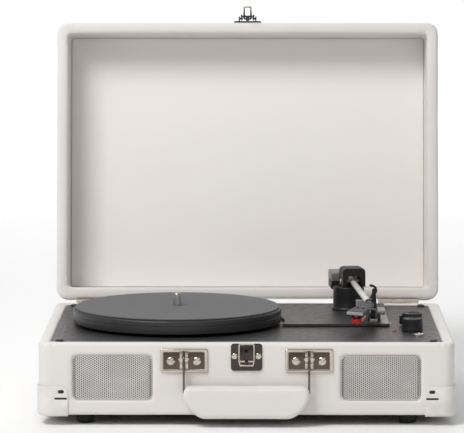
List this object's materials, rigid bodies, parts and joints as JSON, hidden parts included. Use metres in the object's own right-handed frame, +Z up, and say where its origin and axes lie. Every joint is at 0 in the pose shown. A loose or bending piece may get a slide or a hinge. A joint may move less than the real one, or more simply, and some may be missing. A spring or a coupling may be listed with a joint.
{
  "type": "suitcase record player",
  "caption": "Portable record player in a hinged, leatherette-covered case, with a belt-driven platter, a pivoted tonearm, front speakers and a carrying handle.",
  "frame": {"origin": "centre of the case's flat underside, on the bottom panel; the feet stand lower", "axes": "+X to the right seen from the front, +Y to the back, where the lid is hinged, +Z up"},
  "size_m": [0.352, 0.3557, 0.3397],
  "materials": {
    "leatherette": "embossed off-white vinyl over board",
    "liner_board": "smooth off-white lining",
    "hardboard": "dark pressed board",
    "cream_plastic": "off-white moulded",
    "nickel": "warm nickel plate, fine brushing",
    "steel": "bright zinc",
    "silver_tube": "satin",
    "brass": "turned",
    "black_steel": "satin black",
    "grille_paint": "off-white enamel",
    "black_plastic": "fine moulded grain",
    "grey_plastic": "satin",
    "grey_metal": "satin grey",
    "rubber": "matte",
    "felt": "short napped felt",
    "red_plastic": "glossy",
    "circuit_board": "solder mask"
  },
  "bodies": {
    "base": {"base_shell": "leatherette", "bottom_panel": "hardboard", "deck_plate": "black_plastic", "tonearm_plinth": "black_plastic", "speaker_grille_left": "grille_paint", "speaker_grille_right": "grille_paint", "speaker_left": "black_steel", "speaker_right": "black_steel", "base_corner_front_left": "cream_plastic", "base_corner_front_right": "cream_plastic", "base_corner_rear_left": "cream_plastic", "base_corner_rear_right": "cream_plastic", "foot_front_left": "rubber", "foot_front_right": "rubber", "foot_rear_left": "rubber", "foot_rear_right": "rubber", "handle_bracket_left": "nickel", "handle_bracket_right": "nickel", "latch_keeper": "nickel", "spindle": "steel", "drive_motor": "steel", "drive_belt": "rubber", "circuit_board": "circuit_board", "volume_pot": "steel", "selector_switch": "steel", "jack_panel": "black_plastic", "power_led": "red_plastic", "headphone_jack": "nickel", "tonearm_pillar": "black_plastic", "arm_rest": "grey_plastic", "hinge_leaf_base_left": "nickel", "hinge_leaf_base_right": "nickel"},
    "lid": {"lid_shell": "leatherette", "lid_liner": "liner_board", "lid_corner_front_left": "cream_plastic", "lid_corner_front_right": "cream_plastic", "lid_corner_rear_left": "cream_plastic", "lid_corner_rear_right": "cream_plastic", "hinge_leaf_lid_left": "nickel", "hinge_leaf_lid_right": "nickel", "latch_plate": "nickel"},
    "latch_lever": {"latch_lever": "nickel"},
    "latch_loop": {"latch_loop": "nickel"},
    "handle": {"handle_grip": "leatherette", "handle_link_left": "nickel", "handle_link_right": "nickel"},
    "platter": {"platter": "black_plastic", "slipmat": "felt"},
    "motor_pulley": {"motor_pulley": "brass"},
    "tonearm_yoke": {"tonearm_yoke": "black_plastic"},
    "tonearm": {"arm_tube": "silver_tube", "headshell": "grey_metal", "cartridge": "black_plastic", "stylus": "red_plastic", "counterweight": "black_plastic"},
    "cue_lever": {"cue_lever": "black_plastic"},
    "arm_clip": {"arm_clip": "black_plastic"},
    "volume_knob": {"volume_knob": "black_plastic"},
    "selector_knob": {"selector_knob": "black_plastic"},
    "speed_slider": {"speed_slider": "grey_plastic"}
  },
  "joints": [
    {"name": "lid_hinge", "type": "hinge", "parent": "base", "child": "lid", "pos_m": [0, 0.12995, 0.06155], "axis": [-1, 0, 0], "range_deg": [-98.5, 0]},
    {"name": "latch_lever_pivot", "type": "hinge", "parent": "lid", "child": "latch_lever", "pos_m": [0, 0.17717, 0.31829], "axis": [1, 0, 0], "range_deg": [0, 75]},
    {"name": "latch_loop_pivot", "type": "hinge", "parent": "latch_lever", "child": "latch_loop", "pos_m": [0, 0.18267, 0.31787], "axis": [-1, 0, 0], "range_deg": [-16, 80]},
    {"name": "handle_hinge", "type": "hinge", "parent": "base", "child": "handle", "pos_m": [0, -0.13225, 0.0483], "axis": [-1, 0, 0], "range_deg": [0, 110]},
    {"name": "platter_spin", "type": "hinge", "parent": "base", "child": "platter", "pos_m": [-0.0609, -0.00115, 0.0613], "axis": [0, 0, -1], "continuous": true},
    {"name": "motor_spin", "type": "hinge", "parent": "base", "child": "motor_pulley", "pos_m": [-0.10782, 0.05477, 0.0613], "axis": [0, 0, -1], "continuous": true},
    {"name": "tonearm_swing", "type": "hinge", "parent": "base", "child": "tonearm_yoke", "pos_m": [0.094, 0.07325, 0.0883], "axis": [0, 0, -1], "range_deg": [0, 28]},
    {"name": "tonearm_lift", "type": "hinge", "parent": "tonearm_yoke", "child": "tonearm", "pos_m": [0.094, 0.07325, 0.0883], "axis": [-0.9903, -0.1392, 0], "range_deg": [0, 12]},
    {"name": "cue_lever_pivot", "type": "hinge", "parent": "base", "child": "cue_lever", "pos_m": [0.111, -0.00075, 0.0673], "axis": [-1, 0, 0], "range_deg": [-20, 30]},
    {"name": "arm_clip_pivot", "type": "hinge", "parent": "base", "child": "arm_clip", "pos_m": [0.10988, 0.01489, 0.07915], "axis": [-0.1392, 0.9903, 0], "range_deg": [-60, 0]},
    {"name": "volume_turn", "type": "hinge", "parent": "base", "child": "volume_knob", "pos_m": [0.1425, -0.04675, 0.0613], "axis": [0, 0, -1], "range_deg": [0, 280]},
    {"name": "selector_turn", "type": "hinge", "parent": "base", "child": "selector_knob", "pos_m": [0.1438, -0.01275, 0.0613], "axis": [0, 0, -1], "range_deg": [0, 90]},
    {"name": "speed_slide", "type": "slide", "parent": "base", "child": "speed_slider", "axis": [0, 1, 0], "range_m": [-0.005, 0.005]}
  ],
  "couplings": [
    {"joint": "latch_loop_pivot", "follows": "latch_lever_pivot", "ratio": 1},
    {"joint": "motor_spin", "follows": "platter_spin", "ratio": 8.7692}
  ]
}
